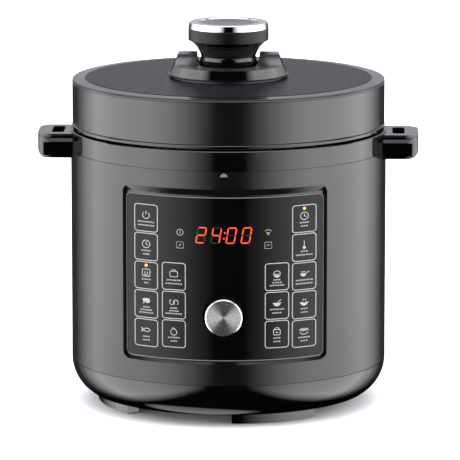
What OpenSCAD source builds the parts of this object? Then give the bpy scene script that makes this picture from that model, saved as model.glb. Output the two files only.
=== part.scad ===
// Electric pressure cooker, eight-litre class.
// Millimetres, +Z up, front towards -Y, origin on the resting surface under the centre.

/* [Body] */
// Outer radius of the body shell
body_r = 150.5; // [146:0.5:185]
// Height of the seam between body shell and collar ring, which is also the rim of the inner pot
rim_z = 244; // [200:1:300]
// Height of the seam between base pan and body shell
base_top_z = 42; // [38:1:46]
// Height of the feet, which is also the height of the base pan's underside
foot_h = 10.5; // [6:0.5:12]
// Thickness of the steel body shell
shell_wall = 0.8; // [0.5:0.1:1.2]
// Wall thickness of the moulded plastic pieces
mould_wall = 2.5; // [2:0.1:3]
// Radius of the rounded flank of the base pan
base_flank_r = 36.9; // [30:0.1:45]
// Height of the collar ring above the body seam
collar_h = 18.7; // [17:0.1:22]

/* [Pot and heater] */
// Inner radius of the inner pot
pot_r = 120; // [100:1:122]
// Wall thickness of the inner pot
pot_wall = 1.5; // [1:0.1:2]
// Height of the heating plate's top face
heater_top_z = 61; // [60:1:64]
// Radius of the heating plate
heater_r = 95; // [75:1:98]
// Radius of the temperature sensor cap
sensor_r = 17; // [12:0.5:20]

/* [Lid] */
// How far the lid's side stands back from the collar ring's side
lid_inset = 1.3; // [0.5:0.1:3]
// Height of the lid's side
lid_side_h = 44.3; // [40:0.1:60]
// Height of the bright trim at the lid's lower edge
trim_h = 3.6; // [2.5:0.1:5]
// Shadow gap between collar ring and lid
lid_gap = 2; // [1.5:0.1:3]
// Number of bayonet teeth
teeth = 8; // [6:1:10]
// Angle that one bayonet tooth covers
tooth_deg = 19; // [12:1:20]
// Thickness of the bayonet teeth
tooth_t = 3; // [2.5:0.1:4]

/* [Knob and handle bar] */
// Outer radius of the knob's band
knob_r = 38.3; // [34:0.1:44]
// Radius of the knob's neck
neck_r = 26; // [23:0.1:28]
// Height of the knob's satin band
band_h = 11.1; // [10:0.1:16]
// Height of the steel ring on the knob
steel_h = 6; // [3:0.1:7]
// Radius of the button in the knob
button_r = 27.9; // [20:0.1:30]
// Outer radius of the handle bar at its foot
bar_r = 56; // [50:0.5:60]
// Height of the handle bar's round rim above the lid
bar_rim_h = 10.1; // [9:0.1:14]
// Height of the handle bar's ridge above the lid
bar_ridge_h = 22.3; // [18:0.1:24]
// Travel of the steam-release button
button_travel = 3; // [2:0.5:4]

/* [Control panel] */
// Width of the panel recess across the front
panel_w = 192; // [160:1:200]
// Height of the recess's lower edge
panel_z0 = 61.2; // [58:0.1:80]
// Height of the recess's upper edge
panel_z1 = 228; // [200:0.1:232]
// Height of the dial's axis
dial_z = 108; // [100:0.5:120]
// Radius of the dial
dial_r = 17.2; // [14:0.1:22]
// Height of the display's centre
display_z = 184; // [160:1:190]

/* [Side handles] */
// How far the handles stand out from the body shell
handle_out = 30.8; // [28:0.5:45]
// Width of the handles from front to back
handle_w = 60; // [50:1:70]
// Height of the handles
handle_h = 23; // [20:0.5:26]

/* [Rear] */
// Width of the condensation cup
cup_w = 66; // [50:1:80]
// Height of the condensation cup
cup_h = 62; // [45:1:70]
// Height of the mains inlet's centre
inlet_z = 72; // [70:1:90]

/* [Hidden] */
$fn = 240;
FIT = 0.05;          // radial clearance of a running fit
GAP = 0.3;           // clearance between pieces that only pass each other
SEAM = 0.4;          // shadow line between fixed outer pieces
EPS = 0.01;

// Radii of the nested shells
shell_in_r = body_r - shell_wall;
collar_r = body_r - 0.2;
lid_r = collar_r - lid_inset;
handle_reach = body_r + handle_out;
outer_pot_r = pot_r + pot_wall + 8;
pot_lip_r = pot_r + pot_wall + 5.5;
house_wall = 1;

// Bayonet: flange on the housing, toothed plate in the lid
tooth_root_r = outer_pot_r + 2;
tooth_tip_r = outer_pot_r + 10;
flange_tip_r = tooth_root_r + 1.5;
flange_root_r = tooth_tip_r + 1;
flange_out_r = body_r - 3.5;
tooth_pitch = 360 / teeth;
lock_turn = tooth_pitch / 2;

// Heights of the lid stack, from the pot's rim upwards
seal_z = rim_z + GAP;
seal_h = 2.9;
lid_rim_z = seal_z + seal_h;
lid_sheet = 1.2;
tooth_z = lid_rim_z + lid_sheet + 0.6;
flange_z = tooth_z + tooth_t + 1;
flange_t = 4;
dome_z = lid_rim_z + 10;
dome_r = 97;
plate_z = dome_z + lid_sheet + 2.8;
plate_t = 2.5;
collar_top_z = rim_z + collar_h;
lid_z0 = collar_top_z + lid_gap;
lid_z1 = lid_z0 + lid_side_h;
chassis_z = max(plate_z + plate_t + 2.5, lid_z0 + 1.3);
lid_top_z = lid_z1 + 2.8;
cover_t = 2.5;

// Things that stand on one circle in the lid
post_ring_r = 72;
post_r = 4;
post_degs = [0, 180, 270];
vent_deg = 90;
float_deg = 55;
float_r = 3;
float_travel = 4;
vent_y = post_ring_r;
vent_r = 4;

// Knob and shaft
plinth_h = 1.8;
bar_z = lid_top_z + 0.1 + plinth_h;
recess_r = neck_r + 4;
recess_z = bar_z + bar_rim_h - 4;
knob_z = recess_z + 0.5;
flare_z = knob_z + 11.4;
band_z = flare_z + 15.6;
steel_z = band_z + band_h;
knob_top_z = steel_z + steel_h;
shaft_r = 12;
shaft_in_r = 9.5;
bush_r = shaft_r + 3;
rod_r = 3;
rod_gap = 0.6;       // play between the button's rod and the rocker lever
button_top_z = knob_top_z - 0.8;
button_floor_z = button_top_z - 7;
well_z = button_floor_z - button_travel - 1.5;

// Rocker lever under the knob
lever_w = 9;
lever_z = chassis_z + 12;
lever_t = 4;
lever_pivot_y = 26;
lever_tail_y = vent_y - 12.5;
lever_pin_r = 1.5;
valve_low_z = lever_z + 15;

// Control panel
lens_r = body_r - 3.6;
lens_t = 2;
bezel_lip = 3.5;
lens_z0 = panel_z0 + bezel_lip;
lens_z1 = panel_z1 - 8.3;

function polar(r, a) = [r * cos(a), r * sin(a)];

// ---------- shared shapes ----------
module tube(r_out, r_in, z0, z1) {
  translate([0, 0, z0]) difference() {
    cylinder(r = r_out, h = z1 - z0);
    translate([0, 0, -1]) cylinder(r = r_in, h = z1 - z0 + 2);
  }
}

module disc(r, z0, z1) {
  translate([0, 0, z0]) cylinder(r = r, h = z1 - z0);
}

// Rounded rectangle between two corners
module rounded(x0, y0, x1, y1, r) {
  translate([x0 + r, y0]) square([x1 - x0 - 2 * r, y1 - y0]);
  translate([x0, y0 + r]) square([x1 - x0, y1 - y0 - 2 * r]);
  for (x = [x0 + r, x1 - r], y = [y0 + r, y1 - r]) translate([x, y]) circle(r = r);
}

// An outline in X and Z pushed through from y0 to y1
module along_y(y0, y1) {
  translate([0, y1, 0]) rotate([90, 0, 0]) linear_extrude(y1 - y0) children();
}

// An outline in Y and Z pushed through from x0 to x1
module along_x(x0, x1) {
  translate([x0, 0, 0]) rotate([90, 0, 90]) linear_extrude(x1 - x0) children();
}

// Ring sector from angle a, deg wide
module sector(r_in, r_out, a, deg, z0, z1) {
  rotate([0, 0, a]) rotate_extrude(angle = deg)
    translate([r_in, z0]) square([r_out - r_in, z1 - z0]);
}

// Slot along an arc, with round ends
module arc_slot(r, half_w, a0, a1, z0, z1) {
  sector(r - half_w, r + half_w, a0, a1 - a0, z0, z1);
  for (a = [a0, a1]) translate([polar(r, a)[0], polar(r, a)[1], z0]) cylinder(r = half_w, h = z1 - z0);
}

// Round wire swept along points, as one closed skin
module wire(path, r, sides = 8) {
  n = len(path);
  dirs = [for (i = [0 : n - 1]) path[min(i + 1, n - 1)] - path[max(i - 1, 0)]];
  rings = [for (i = [0 : n - 1])
    let (d = dirs[i] / norm(dirs[i]),
         up = abs(d[2]) > 0.9 ? [1, 0, 0] : [0, 0, 1],
         u = cross(d, up) / norm(cross(d, up)),
         v = cross(u, d))
    for (k = [0 : sides - 1]) path[i] + r * (cos(360 * k / sides) * u + sin(360 * k / sides) * v)];
  walls = [for (i = [0 : n - 2], k = [0 : sides - 1])
    let (a = i * sides + k, b = i * sides + (k + 1) % sides)
    [a, a + sides, b + sides, b]];
  caps = [[for (k = [0 : sides - 1]) k], [for (k = [sides - 1 : -1 : 0]) (n - 1) * sides + k]];
  polyhedron(rings, concat(walls, caps), convexity = 6);
}

// ---------- base ----------
flank_x = body_r - base_flank_r;
foot_r1 = body_r - 25;
foot_r0 = foot_r1 - 13.5;
foot_deg = 39;
foot_start = -67.4 - foot_deg / 2;
base_floor_z = foot_h + mould_wall;

module flank_section(r, z0) {
  intersection() {
    translate([flank_x, base_top_z]) circle(r = r);
    translate([flank_x, z0]) square([r + 1, base_top_z - z0]);
  }
  translate([0, z0]) square([flank_x + EPS, base_top_z - z0]);
}

base_screw_r = 1.8;
base_screw_ring = (foot_r0 + foot_r1) / 2;

module at_base_screws() {
  for (k = [0 : 3]) rotate([0, 0, foot_start + foot_deg / 2 + 90 * k])
    translate([base_screw_ring, 0, 0]) children();
}

module base_pan() {
  color("#151518") difference() {
    union() {
      rotate_extrude() difference() {
        union() {
          flank_section(base_flank_r, foot_h);
          translate([body_r - 3.7, base_top_z - 1]) square([2.6, 5]);
        }
        flank_section(base_flank_r - mould_wall, base_floor_z);
      }
      at_base_screws() disc(5, base_floor_z - EPS, base_floor_z + 16);
      at_standoffs() {
        disc(3.4, base_floor_z - EPS, pcb_z);
        disc(1.5, pcb_z - EPS, pcb_z + pcb_t + 1.4);
      }
    }
    translate([0, 0, base_top_z - SEAM]) tube(body_r + 1, body_r - 1.1, 0, SEAM + 1);
    at_base_screws() disc(base_screw_r + FIT, foot_h - 1, base_floor_z + 17);
    for (row = [-3 : 3]) translate([-28, row * 9 - 30, foot_h - 1]) cube([56, 3, mould_wall + 2]);
  }
}

module feet() {
  color("#202023") difference() {
    for (k = [0 : 3]) sector(foot_r0, foot_r1, foot_start + 90 * k, foot_deg, 0.8, foot_h);
    at_base_screws() disc(base_screw_r + FIT, -1, foot_h + 1);
    at_base_screws() disc(3.6, -1, 7.2);
    for (k = [0 : 3])
      sector(foot_r0 + 2 - FIT, foot_r1 - 2 + FIT, foot_start + 1.5 + 90 * k, foot_deg - 3, 0, 2.2);
  }
}

module foot_pads() {
  color("#2d2d2f") difference() {
    for (k = [0 : 3]) sector(foot_r0 + 2, foot_r1 - 2, foot_start + 1.6 + 90 * k, foot_deg - 3.2, 0, 2.2);
    at_base_screws() disc(3.6, -1, 5);
  }
}

module base_screws() {
  color("silver") at_base_screws() {
    difference() {
      disc(3.4, 5, 7.2);
      translate([-0.5, -2.2, 4]) cube([1, 4.4, 2]);
      translate([-2.2, -0.5, 4]) cube([4.4, 1, 2]);
    }
    disc(base_screw_r, 7.1, base_floor_z + 15);
  }
}

// ---------- body ----------
module panel_outline(grow) {
  rounded(-panel_w / 2 - grow, panel_z0 - grow, panel_w / 2 + grow, panel_z1 + grow, 7 + grow);
}

module lens_outline(grow) {
  rounded(-panel_w / 2 + bezel_lip - grow, lens_z0 - grow,
          panel_w / 2 - bezel_lip + grow, lens_z1 + grow, 5 + grow);
}

inlet_w = 56;
inlet_h = 30;
inlet_face_y = body_r + 2.6;
inlet_back_y = inlet_face_y - 18.3;

module body_shell() {
  color("#3b3b40") difference() {
    tube(body_r, shell_in_r, base_top_z + SEAM / 2, rim_z);
    along_y(-body_r - 1, 0) panel_outline(FIT);
    along_y(0, body_r + 1) rounded(-inlet_w / 2 + 4, inlet_z - inlet_h / 2 + 3,
                                   inlet_w / 2 - 4, inlet_z + inlet_h / 2 - 3, 3);
    for (i = [-6 : 6]) rotate([0, 0, 90 + i * 3.2])
      translate([body_r, 0, 118]) cube([8, 3.4, 26], center = true);
  }
}

collar_skirt_r = shell_in_r - GAP;
handle_screw_y = handle_w / 2 - 12;
handle_screw_z = rim_z + 4;

module at_handle_screws(side) {
  for (y = [-handle_screw_y, handle_screw_y]) translate([0, y, handle_screw_z])
    rotate([0, 90 * side, 0]) children();
}

module collar_ring() {
  color("#0c0c0e") difference() {
    union() {
      rotate_extrude() polygon([
        [flange_root_r, flange_z + flange_t + 0.4], [flange_root_r + 2, flange_z + flange_t + 0.4],
        [flange_root_r + 2, collar_top_z - mould_wall], [collar_r - mould_wall, collar_top_z - mould_wall],
        [collar_r - mould_wall, rim_z - 8], [collar_skirt_r, rim_z - 8],
        [collar_skirt_r, rim_z + SEAM], [collar_r, rim_z + SEAM],
        [collar_r, collar_top_z - 0.6], [collar_r - 0.6, collar_top_z], [flange_root_r, collar_top_z]]);
      along_y(-collar_r - 0.7, -collar_r + 1) difference() {
        translate([0, rim_z + SEAM]) circle(r = 3.5);
        translate([-5, rim_z + SEAM - 5]) square([10, 5]);
      }
    }
    for (side = [-1, 1]) at_handle_screws(side) disc(2.1, 130, body_r + 2);
  }
}

// ---------- side handles ----------
handle_z1 = rim_z + 16.2;
handle_z0 = handle_z1 - handle_h;
cap_t = 2.2;
cap_z = handle_z1 - cap_t;
slot_x0 = body_r + 6;
slot_x1 = handle_reach - 13.1;
ledge_z = cap_z - 5.4;
slot_half = handle_w / 2 - 11;

module handle_block(z0, z1, grow) {
  intersection() {
    translate([0, 0, z0]) linear_extrude(z1 - z0)
      rounded(body_r - 26, -handle_w / 2 - grow, handle_reach + grow, handle_w / 2 + grow, 14);
    along_y(-handle_w, handle_w) rounded(body_r - 30, handle_z0, handle_reach + grow, handle_z1 + 20, 8);
  }
}

module handle_slot() {
  translate([0, 0, handle_z0 + 3]) linear_extrude(handle_h)
    rounded(slot_x0, -slot_half, slot_x1, slot_half, 4);
}

module handle_body() {
  difference() {
    handle_block(handle_z0, cap_z - 0.9, 0);
    disc(body_r + FIT, handle_z0 - 1, handle_z1 + 1);
    handle_slot();
    // sloped ledge under the cap, and the finger hollow below it
    for (s = [-1, 1]) along_x(body_r - 28, handle_reach + 1) polygon([
      [s * (handle_w / 2 - 3.2), cap_z], [s * (handle_w / 2 + 1), cap_z],
      [s * (handle_w / 2 + 1), ledge_z], [s * handle_w / 2, ledge_z]]);
    for (s = [-1, 1]) along_y(s * handle_w / 2 - 2.6, s * handle_w / 2 + 2.6)
      rounded(body_r + 2.2, handle_z0 + 2.2, handle_reach - 2.6, ledge_z - 0.5, 5);
    at_handle_screws(1) disc(1.6 + FIT, body_r - 4, body_r + 4);
  }
  difference() {
    handle_block(cap_z - 1, cap_z, -1);
    disc(collar_r + 1, handle_z0, handle_z1 + 1);
    handle_slot();
  }
}

module handle_cap() {
  difference() {
    handle_block(cap_z, handle_z1, 0);
    disc(body_r + FIT, handle_z0 - 1, handle_z1 + 1);
    handle_slot();
  }
}

module handle_right() { color("#111113") handle_body(); }
module handle_left() { color("#111113") mirror([1, 0, 0]) handle_body(); }

module handle_caps() {
  color("#2a2a2e") {
    handle_cap();
    mirror([1, 0, 0]) handle_cap();
  }
}

module handle_screws() {
  color("silver") for (side = [-1, 1]) at_handle_screws(side) {
    disc(3.6, collar_r - 6, collar_r - mould_wall - 2.3);
    disc(1.6, collar_r - mould_wall - 2.4, body_r + 3);
  }
}

// ---------- pots and heater ----------
house_z = heater_top_z - 16.5;
shelf_z = rim_z - 0.4;

module outer_pot() {
  color("#a9abae") difference() {
    rotate_extrude() polygon([
      [0, house_z], [outer_pot_r + house_wall, house_z], [outer_pot_r + house_wall, shelf_z],
      [flange_root_r + 2.5, shelf_z], [flange_root_r + 2.5, flange_z - house_wall],
      [flange_out_r, flange_z - house_wall], [flange_out_r, flange_z],
      [flange_root_r + 1.5, flange_z], [flange_root_r + 1.5, shelf_z + house_wall],
      [outer_pot_r, shelf_z + house_wall], [outer_pot_r, house_z + house_wall], [0, house_z + house_wall]]);
    disc(9, house_z - 1, house_z + 2);
    at_heater_screws() disc(2.1, house_z - 1, house_z + 2);
    at_terminals() disc(5, house_z - 1, house_z + 2);
  }
}

module lock_flange() {
  color("#b9bbbd") {
    tube(flange_out_r, flange_root_r, flange_z, flange_z + flange_t);
    for (k = [0 : teeth - 1])
      sector(flange_tip_r, flange_root_r + EPS, k * tooth_pitch - tooth_deg / 2 + lock_turn,
             tooth_deg, flange_z, flange_z + flange_t);
  }
}

plate_h = 12;
leg_ring_r = heater_r - 9;
element_r = heater_r - 27;
element_wire_r = 4.2;

module at_heater_screws() {
  for (a = [30, 150, 270]) translate([polar(leg_ring_r, a)[0], polar(leg_ring_r, a)[1], 0]) children();
}

module at_terminals() {
  for (a = [82, 98]) translate([polar(element_r, a)[0], polar(element_r, a)[1], 0]) children();
}

module heating_plate() {
  z0 = heater_top_z - plate_h;
  color("#c3c5c7") difference() {
    union() {
      rotate_extrude() polygon([[0, z0], [heater_r, z0], [heater_r, heater_top_z - 2],
                                [heater_r - 2, heater_top_z], [0, heater_top_z]]);
      at_heater_screws() disc(6, house_z + house_wall, z0 + 1);
    }
    disc(sensor_r + GAP, z0 - 1, heater_top_z + 1);
    disc(sensor_r + 3.2, z0 - 1, heater_top_z - 4);
    translate([0, 0, z0 + 2]) rotate_extrude() translate([element_r, 0]) circle(r = element_wire_r + FIT);
    at_heater_screws() disc(1.8, house_z - 1, z0 + 7);
  }
}

module heating_element() {
  z0 = heater_top_z - plate_h;
  color("#7d7f82") {
    translate([0, 0, z0 + 2]) rotate_extrude() translate([element_r, 0]) circle(r = element_wire_r);
    at_terminals() disc(3, house_z - 9, z0);
  }
}

module heater_screws() {
  color("silver") at_heater_screws() {
    disc(3.5, house_z - 2.4, house_z);
    disc(1.75, house_z - EPS, heater_top_z - plate_h + 6.5);
  }
}

module sensor_cap() {
  z0 = heater_top_z - plate_h + 1;
  color("#d0d2d4") difference() {
    union() {
      disc(sensor_r, z0, heater_top_z);
      disc(sensor_r + 2.6, z0, z0 + 1.5);
    }
    disc(sensor_r - 1.5, z0 - 1, heater_top_z - 1.5);
  }
}

spring_turns = 4;

module coil(r, wire_r, z0, z1, turns) {
  steps = turns * 14;
  wire([for (i = [0 : steps])
    let (a = 360 * turns * i / steps) [r * cos(a), r * sin(a), z0 + (z1 - z0) * i / steps]], wire_r, 6);
}

module sensor_spring() {
  color("silver") coil(11.2, 0.6, house_z + house_wall + 0.7, heater_top_z - 2.2, spring_turns);
}

module thermal_fuse() {
  color("#d8c9a8") translate([-46, 18, house_z - 6]) {
    translate([-8, 0, 0]) rotate([0, 90, 0]) cylinder(r = 3.4, h = 16);
    difference() {
      translate([-3, -6, 0]) cube([6, 12, 6]);
      translate([-4, 0, 0]) rotate([0, 90, 0]) cylinder(r = 3.4 + FIT, h = 8);
    }
  }
}

module pressure_switch() {
  color("#a8322a") translate([44, -12, house_z - 17]) {
    cube([28, 11, 16]);
    translate([6, 4, 15.9]) cube([5, 3, 1.1]);
    for (x = [5, 14, 23]) translate([x - 0.4, 3, -6]) cube([0.8, 5, 6.1]);
  }
}

module inner_pot() {
  color("#8d8f92") rotate_extrude() difference() {
    union() {
      pot_section(pot_r + pot_wall, heater_top_z, 8 + pot_wall);
      translate([pot_r, rim_z - pot_wall]) square([pot_lip_r - pot_r - pot_wall / 2, pot_wall]);
      translate([pot_lip_r - pot_wall / 2, rim_z - pot_wall / 2]) circle(r = pot_wall / 2);
    }
    pot_section(pot_r, heater_top_z + pot_wall, 8);
  }
}

// Half outline of the pot's space: flat floor, rounded corner, straight wall up past the rim
module pot_section(r, z0, corner) {
  square_z1 = z0 > heater_top_z ? rim_z + 1 : rim_z;
  translate([0, z0]) square([r - corner, square_z1 - z0]);
  translate([0, z0 + corner]) square([r, square_z1 - z0 - corner]);
  translate([r - corner, z0 + corner]) circle(r = corner);
}

// ---------- control panel ----------
module shell_patch(r_in, r_out) {
  intersection() {
    tube(r_out, r_in, panel_z0 - 4, panel_z1 + 4);
    along_y(-body_r - 3, -20) children();
  }
}

module dial_hole(r) {
  translate([0, 0, dial_z]) rotate([90, 0, 0]) cylinder(r = r, h = body_r + 5);
}

module display_window(grow) {
  along_y(-body_r - 5, -60) rounded(-33 - grow, display_z - 11 - grow, 33 + grow, display_z + 11 + grow, 1.5);
}

bezel_in_r = body_r - 8;

bezel_edge = 0.7;
bezel_x = panel_w / 2 - bezel_edge;
bezel_low_r = lens_r - 0.2;

function on_circle(r, x) = [x, -sqrt(r * r - x * x)];

// Recess in front of the lens: sloped walls all round, the one above the lens the highest
module bezel_hollow() {
  lens_x = panel_w / 2 - bezel_lip + 0.3;
  intersection() {
    rotate_extrude() polygon([
      [bezel_low_r, lens_z0 - 0.4], [body_r - 0.3, panel_z0 + bezel_edge], [body_r + 1, panel_z0 + bezel_edge],
      [body_r + 1, panel_z1 - bezel_edge], [body_r - 0.3, panel_z1 - bezel_edge],
      [bezel_low_r, lens_z1 + 1.4]]);
    along_y(-body_r - 3, -20)
      rounded(-bezel_x, panel_z0 + bezel_edge, bezel_x, panel_z1 - bezel_edge, 7);
    translate([0, 0, panel_z0]) linear_extrude(panel_z1 - panel_z0) polygon([
      on_circle(body_r - 0.3, -bezel_x), on_circle(bezel_low_r, -lens_x), [-lens_x, -60], [lens_x, -60],
      on_circle(bezel_low_r, lens_x), on_circle(body_r - 0.3, bezel_x),
      [bezel_x, -body_r - 5], [-bezel_x, -body_r - 5]]);
  }
}

module panel_bezel() {
  color("#17171a") difference() {
    shell_patch(bezel_in_r, body_r) panel_outline(0);
    shell_patch(lens_r - lens_t, body_r + 2) lens_outline(FIT);
    along_y(-body_r - 5, -60) rounded(-panel_w / 2 + 9, lens_z0 + 5, panel_w / 2 - 9, lens_z1 - 5, 4);
    bezel_hollow();
  }
}

module panel_lens() {
  color("#050507") difference() {
    shell_patch(lens_r - lens_t, lens_r) lens_outline(-FIT);
    dial_hole(dial_r + 0.6);
  }
}

film_r = lens_r - lens_t - FIT;

module touch_film() {
  color("#4c4226") difference() {
    shell_patch(film_r - 0.4, film_r)
      rounded(-panel_w / 2 + 10, lens_z0 + 6, panel_w / 2 - 10, lens_z1 - 6, 3);
    dial_hole(dial_r + 4);
    display_window(1);
  }
}

board_y = -(lens_r - 12.4);
board_w = 2 * (sqrt(pow(film_r - 0.4, 2) - pow(board_y - 1.6, 2)) - 1.5);

module control_board() {
  color("#1d5a34") difference() {
    translate([-board_w / 2, board_y - 1.6, 86]) cube([board_w, 1.6, 112]);
    translate([0, board_y - 2, dial_z]) rotate([90, 0, 0]) translate([0, 0, -2]) cylinder(r = 3.6, h = 6);
  }
}

display_w = 62;
display_t = 4.4;

module display_module() {
  color("#1a1a1c") translate([-display_w / 2, board_y - 1.6 - display_t, display_z - 10])
    cube([display_w, display_t, 20]);
}

module encoder() {
  color("#9aa0a6") translate([0, board_y - 1.6, dial_z]) rotate([90, 0, 0]) {
    difference() {
      union() {
        translate([-6.5, -6.5, 0]) cube([13, 13, 4.5]);
        cylinder(r = 4.5, h = 7.5);
      }
      translate([0, 0, -1]) cylinder(r = 3 + FIT, h = 10);
    }
  }
}

module dial_surround() {
  color("#0a0a0b") translate([0, 0, dial_z]) rotate([90, 0, 0]) {
    translate([0, 0, lens_r - 8]) difference() {
      cylinder(r = dial_r + 0.5, h = 6.2);
      translate([0, 0, -1]) cylinder(r = dial_r - 3, h = 8.5);
    }
    translate([0, 0, lens_r + 0.15]) difference() {
      cylinder(r = dial_r + 2.6, h = 1.1);
      translate([0, 0, -1]) cylinder(r = dial_r - 3, h = 3);
    }
    translate([0, 0, lens_r - 2.2]) difference() {
      cylinder(r = dial_r + 0.5, h = 2.6);
      translate([0, 0, -1]) cylinder(r = dial_r - 3, h = 8);
    }
  }
}

module dial_knob() {
  color("#1b1b1d") translate([0, 0, dial_z]) rotate([90, 0, 0]) {
    translate([0, 0, lens_r + 2]) difference() {
      cylinder(r = dial_r - 0.4, h = 7.4);
      translate([0, 0, -1]) cylinder(r = dial_r - 3, h = 3);
    }
    translate([0, 0, -board_y + 2]) cylinder(r = 3, h = lens_r + 3.1 + board_y);
  }
}

module dial_face() {
  color("#c9cacd") translate([0, 0, dial_z]) rotate([90, 0, 0]) translate([0, 0, lens_r + 9.4])
    difference() {
      union() {
        cylinder(r = dial_r, h = 1);
        translate([0, 0, 1]) cylinder(r1 = dial_r, r2 = dial_r - 0.8, h = 0.6);
      }
      translate([3.2, dial_r - 3.4, 1]) cylinder(r = 1.2, h = 2);
    }
}

// ---------- electronics in the base ----------
pcb_x0 = -75;
pcb_y0 = 15;
pcb_w = 110;
pcb_d = 75;
pcb_z = base_floor_z + 7;
pcb_t = 1.6;

module at_standoffs() {
  for (x = [pcb_x0 + 5, pcb_x0 + pcb_w - 5], y = [pcb_y0 + 5, pcb_y0 + pcb_d - 5])
    translate([x, y, 0]) children();
}

module power_board() {
  color("#2b6b3d") difference() {
    translate([pcb_x0, pcb_y0, pcb_z]) cube([pcb_w, pcb_d, pcb_t]);
    at_standoffs() disc(1.6, pcb_z - 1, pcb_z + 3);
  }
}

module power_components() {
  z = pcb_z + pcb_t;
  color("#303a66") translate([pcb_x0, pcb_y0, z]) {
    translate([12, 40, 0]) cube([19, 15, 11]);
    translate([36, 40, 0]) cube([19, 15, 11]);
    translate([66, 18, 0]) cube([22, 18, 10]);
    translate([14, 14, 0]) cube([10, 16, 8]);
    translate([40, 20, 0]) cylinder(r = 5, h = 12);
    translate([53, 20, 0]) cylinder(r = 4, h = 10);
    translate([88, 56, 0]) cube([14, 9, 8]);
  }
}

// Three leads: inlet to board, board to heater, board to control board
inlet_lead = [[0, inlet_back_y + 2.2, inlet_z - 11.9], [0, inlet_back_y + 1.2, inlet_z - 24],
              [-4, inlet_back_y - 3.8, 38], [-12, 122, 31], [-20, 110, 28], [-26, 100, 26],
              [-30, 92, 25], [-32, 86, 24.2]];
heater_lead = [[8, 80, 23.4], [8, 80, 26], [5, 79, 29], [0, 76, 30.5], [-6, 71, 31], [-9, 68, 32],
               [-9.5, 67.3, 34], [-9.5, 67.3, house_z - 9.1]];
control_lead = [[30, 50, 23.6], [36, 46, 25], [60, 40, 29], [84, 20, 30], [96, -20, 30], [92, -68, 31],
                [78, -98, 32], [66, -115, 37], [56, board_y + 11.5, 48], [48, board_y + 7.5, 64],
                [41, board_y + 5, 80], [38, board_y + 3.5, 90], [38, board_y + 1.9, 98]];

module wiring() {
  color("#b8702e") {
    wire(inlet_lead, 2.4);
    wire(heater_lead, 1.6);
    wire(control_lead, 1.8);
  }
}

// ---------- rear ----------

module inlet_socket() {
  color("#101012") difference() {
    union() {
      difference() {
        along_y(body_r - 6, inlet_face_y)
          rounded(-inlet_w / 2, inlet_z - inlet_h / 2, inlet_w / 2, inlet_z + inlet_h / 2, 4);
        disc(body_r + FIT, inlet_z - inlet_h, inlet_z + inlet_h);
      }
      along_y(inlet_back_y, body_r + 0.5) rounded(-15.5, inlet_z - 11.5, 15.5, inlet_z + 11.5, 3);
    }
    along_y(inlet_back_y + 2, inlet_face_y + 1) polygon([
      [-12.2, inlet_z - 8], [12.2, inlet_z - 8], [12.2, inlet_z + 4], [8.2, inlet_z + 8],
      [-8.2, inlet_z + 8], [-12.2, inlet_z + 4]]);
    for (x = [-21.5, 21.5]) along_y(body_r - 10, inlet_face_y + 1) translate([x, inlet_z]) circle(r = 1.9);
    at_inlet_pins() cube([4.1, 30, 2.1], center = true);
  }
}

module at_inlet_pins() {
  for (p = [[-7, -1.5], [0, 2.5], [7, -1.5]]) translate([p[0], 0, inlet_z + p[1]])
    translate([0, inlet_back_y, 0]) children();
}

module inlet_pins() {
  color("#c8b070") {
    at_inlet_pins() translate([-2, -1.5, -1]) cube([4, 15, 2]);
    for (x = [-21.5, 21.5]) along_y(body_r - 9, body_r - 1.2) translate([x, inlet_z]) circle(r = 1.85);
    for (x = [-21.5, 21.5]) along_y(inlet_face_y + 0.02, inlet_face_y + 1.6)
      translate([x, inlet_z]) circle(r = 3.4);
    for (x = [-21.5, 21.5]) along_y(body_r - 1.3, inlet_face_y + 0.1)
      translate([x, inlet_z]) circle(r = 1.85);
  }
}

cup_z0 = rim_z - 20 - cup_h;
cup_z1 = rim_z - 20;
cup_y0 = body_r + 2.6;
cup_d = 24;
cup_wall = 1.8;

module cup_holder() {
  color("#141416") difference() {
    union() {
      along_y(body_r - 14, cup_y0 - 0.4) rounded(-cup_w / 2 - 6, cup_z0 + 6, cup_w / 2 + 6, cup_z1 + 6, 3);
      for (s = [-1, 1]) translate([s * (cup_w / 2 + 4.2) - 2, cup_y0 - 1, cup_z1 - 9])
        cube([4, cup_d - 5, 9]);
    }
    disc(body_r + FIT, cup_z0 - 1, cup_z1 + 10);
    for (s = [-1, 1]) translate([s * (cup_w / 2 + 2) - 1.6, cup_y0 - 0.4, cup_z1 - 5.4])
      cube([3.2, cup_d + 5, 3.2]);
  }
}

module condensation_cup() {
  color("#b9c2c8") {
    difference() {
      translate([0, 0, cup_z0]) linear_extrude(cup_h)
        rounded(-cup_w / 2, cup_y0, cup_w / 2, cup_y0 + cup_d, 6);
      translate([0, 0, cup_z0 + cup_wall]) linear_extrude(cup_h)
        rounded(-cup_w / 2 + cup_wall, cup_y0 + cup_wall, cup_w / 2 - cup_wall, cup_y0 + cup_d - cup_wall, 5);
    }
    for (s = [-1, 1]) translate([s * (cup_w / 2 + 1.3) - 1.4, cup_y0 + 7, cup_z1 - 4.8])
      cube([2.8, cup_d - 14, 2]);
  }
}

// ---------- lid ----------
cover_r = lid_r - 0.8;
trim_z1 = lid_z0 + trim_h;
shoulder_r = lid_r - 12.6;

module at_vent() { translate([0, vent_y, 0]) children(); }

module at_float() {
  translate([polar(post_ring_r, float_deg)[0], polar(post_ring_r, float_deg)[1], 0]) children();
}

module at_posts() {
  for (a = post_degs) translate([polar(post_ring_r, a)[0], polar(post_ring_r, a)[1], 0]) children();
}

well_r = 14.6;

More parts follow.
